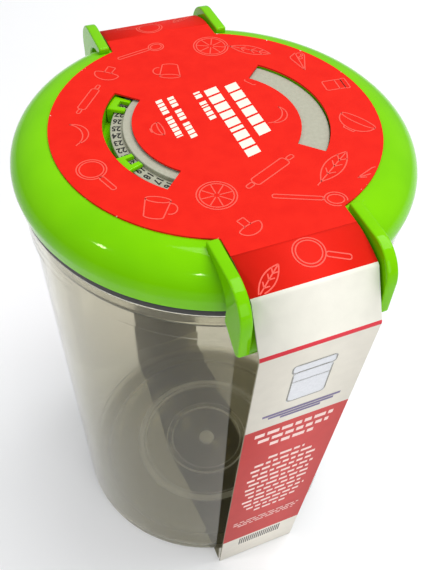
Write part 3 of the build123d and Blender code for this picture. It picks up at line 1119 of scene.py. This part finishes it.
def on_disc(x, y):
    """True on the disc's card: within its edge and outside both windows."""
    radius = np.hypot(x, y)
    aside = np.degrees(np.arctan2(np.abs(y), np.abs(x)))
    window = (radius > window_inner_radius - 0.5) & (radius < window_outer_radius + 0.5)
    window &= aside < window_half_angle + 1
    strap = (np.abs(x) < strap_half_width - strap_margin) & (np.abs(y) < flat_reach)
    return ((radius < disc_radius - 0.4) | strap) & ~window


disc_drawings = [
    (cup, -4, 28, 160, 6.2),
    (citrus, 13, 37, 20, 6.4),
    (ladle, -9, 41, 12, 8.2),
    (leaf, 24, 31, -38, 6.6),
    (mushroom, -22, 33, 140, 6.0),
    (rolling_pin, -31, 22, 50, 7.5),
    (wedge, 36, 20, 70, 6.0),
    (jar, 41, 5, -95, 5.6),
    (bowl, 37, -14, -60, 6.6),
    (chilli, -38, 8, 100, 6.0),
    (pan, -38, -11, -70, 7.6),
    (cup, -28, -28, -30, 6.6),
    (citrus, -12, -29, 0, 6.2),
    (rolling_pin, 5, -25, 25, 9.5),
    (leaf, 22, -29, 35, 7.6),
    (ladle, 10, -38, -24, 10.0),
    (mushroom, -9, -42, 200, 5.4),
    (wedge, 30, -35, -10, 5.2),
    (jar, 19, 16, -60, 4.6),
    (chilli, 18, -3, 60, 5.4),
    (bowl, -17, 2, -90, 3.4),
]
strap_drawings = [(pan, 4, 6.0, 25, 8.0), (leaf, -11, 9, -40, 5.0)]


def block(x0, x1, y0, y1, slant, place):
    """A filled slanting bar of ink between two x and two y values."""
    along = np.array([y0, y1])
    left = place(np.array([x0, x0]), along - slant)
    right = place(np.array([x1, x1]), along + slant)
    return np.concatenate([left, right]), strip_faces(2)


# Rows of bars on the disc: x from and to, the y they start at, the gap between bars, their slant, and the
# bars' lengths, where a negative one is a space
bar_rows = (
    (8.5, 12.6, 15.6, 0.8, 0.55, (3.4, 3.7, 3.0, 3.6, 3.4, 4.2)),
    (1.8, 6.1, 15.4, 0.8, 0.55, (3.0, 3.3, 3.4, 2.8, 3.2, 1.4, 3.3, 2.8, 3.0)),
    (-1.7, 0.5, 15.0, 0.55, 0.3, (0.8, 1.7, -0.8, 1.4, 0.6, 1.5, 1.6, 1.5)),
    (-9.7, -7.6, 15.2, 0.45, 0.3, (1.3, 1.3, 1.4, -0.7, 1.3, 1.4, 1.3, -0.7, 1.2, 1.5, 1.5, 1.4)),
    (-13.4, -11.3, 14.8, 0.45, 0.3, (1.4, 1.3, 1.5, 1.4, -0.7, 1.2, 1.4, 1.3, 1.4, 1.5, 0.5)),
)


def make_disc_print():
    """Pale line drawings and white bars on the disc."""
    print_piece("drawn_disc", scatter(disc_drawings, on_top, on_disc, fine_line), PINK_INK, "sleeve")
    rows = []
    for x0, x1, y, gap, slant, lengths in bar_rows:
        for length in lengths:
            if length > 0:
                rows.append(block(x0, x1, y, y - length, slant, on_top))
            y -= abs(length) + gap
    print_piece("bars_disc", rows, WHITE_INK, "sleeve")


# The panel's picture, in distances from its middle: half width and extent of the jar's lid and glass, then
# half width and upper edge of the dish's bars
picture_half_length = 14.0
glass_bars = ((6.4, -9.1, -5.5), (5.9, -5.4, 9.8))
dish_bars = ((12.5, 14.4), (10.5, 16.0), (6.5, 17.6))
dish_bar_height = 1.2
# The panel's rows of small bars: drop of the first row, step to the next, height, and the rows' half widths
note_rows = (
    (3.0, 4.3, 2.2, (13.5, 12.0, 7.5)),
    (23.0, 4.0, 1.7, (6.5, 11.0, 12.0, 11.0, 12.5, 11.5, 12.5, 12.0, 10.5, 12.5, 11.5, 10.0, 6.5)),
    (81.0, 2.2, 0.8, (14.0, 14.0, 12.0)),
)
note_shortest, note_longest, note_gap = 1.6, 4.2, 0.9
stripe_count, stripe_width, stripe_height = 19, 0.5, 7.5


def make_panel_print(side, body, name):
    """Drawings above the first fold, a plain jar on a dish, rows of small bars and even stripes."""
    place = on_panel(side)
    last = panel_distance(fold_one[1]) - 0.8

    def above_fold(x, y):
        return (y > 0.2) & (y < last) & (np.abs(x) < strap_half_width - strap_margin)

    def anywhere(x, y):
        return np.abs(x) < strap_half_width

    print_piece(f"drawn_{name}", scatter(strap_drawings, place, above_fold, fine_line), PINK_INK, body)
    middle = panel_distance((fold_two[1] + picture_bottom_z) / 2) - 2.5
    glass = [block(-half, half, middle + low, middle + high, 0, place) for half, low, high in glass_bars]
    print_piece(f"glass_{name}", glass, PALE_INK, body)
    picture = scatter([(jar, 0, middle, 180, picture_half_length)], place, anywhere, bold_line)
    print_piece(f"picture_{name}", picture, GREY_INK, body)
    dish = [block(-half, half, middle + y, middle + y + dish_bar_height, 0, place) for half, y in dish_bars]
    print_piece(f"dish_{name}", dish, VIOLET_INK, body)
    rows = []
    rng = np.random.default_rng(7)
    top = panel_distance(picture_bottom_z)
    for first_drop, step, height, half_widths in note_rows:
        for row, half in enumerate(half_widths):
            drop = first_drop + step * row
            x = -half
            while x < half - 0.6:
                length = rng.uniform(note_shortest, note_longest)
                rows.append(block(x, min(x + length, half), top + drop, top + drop + height, 0, place))
                x += length + note_gap
    print_piece(f"notes_{name}", rows, NOTE_INK, body)
    start = panel_distance(notes_bottom_z) + 1.5
    left = np.arange(stripe_count) - stripe_count / 2
    stripes = [block(x, x + stripe_width, start, start + stripe_height, 0, place) for x in left]
    print_piece(f"stripes_{name}", stripes, BLACK_INK, body)


# Room and light

# Each lamp's name, place and size in metres, and power in watts
lamps = (
    ("key_light", (0.4, 0.05, 1.2), 0.8, 11.5),
    ("fill_light", (0.15, -1.1, 0.55), 0.7, 4.5),
    ("spark_light", (-0.32, -0.54, 0.87), 0.04, 0.65),
    ("streak_light", (-0.68, 0.03, 0.82), 0.07, 0.95),
)
lamp_target = (0, 0, 0.12)


def make_room():
    """Pale floor, a world that is brighter above than at the horizon, a soft light from above on the right,
    a weaker one from the front, and two small ones for the highlights on the lid."""
    size = 3.0
    points = np.array([[-size, -size, 0], [size, -size, 0], [size, size, 0], [-size, size, 0]]) / METRE
    floor = add_object("floor", mesh_from("floor", points, [(0, 1, 2, 3)], smooth=False))
    floor.data.materials.append(pale_floor())
    world = bpy.data.worlds.new("soft_room")
    world.use_nodes = True
    tree = world.node_tree
    direction = add_node(tree, "TexCoord", {}).outputs["Generated"]
    upward = add_node(tree, "SeparateXYZ", {"Vector": direction}).outputs["Z"]
    strength = add_node(tree, "MapRange", {"Value": upward, "From Max": 0.7, "To Min": 0.26, "To Max": 0.5})
    background = tree.nodes["Background"]
    background.inputs["Color"].default_value = (0.95, 0.97, 1.0, 1)
    tree.links.new(strength.outputs["Result"], background.inputs["Strength"])
    bpy.context.scene.world = world
    bpy.context.scene.view_settings.view_transform = "Standard"
    for name, place, width, power in lamps:
        lamp = bpy.data.lights.new(name, "AREA")
        lamp.size = width
        lamp.energy = power
        lamp_object = add_object(name, lamp)
        aim = Vector(lamp_target) - Vector(place)
        lamp_object.rotation_euler = aim.to_track_quat("-Z", "Y").to_euler()
        lamp_object.location = place


make_canister()
make_lid()
make_grips()
make_lid_parts()
make_cover()
make_valve()
make_day_numbers()
make_panels()
make_base_strip()
dress_card_top()
make_disc_print()
make_panel_print(-1, "sleeve_front", "front")
make_panel_print(1, "sleeve_back", "back")
dress_node("day_pointer_a", LIME)
dress_node("day_pointer_b", LIME)
dress_node("channel_seal", SEAL)
make_room()

bpy.context.view_layer.update()
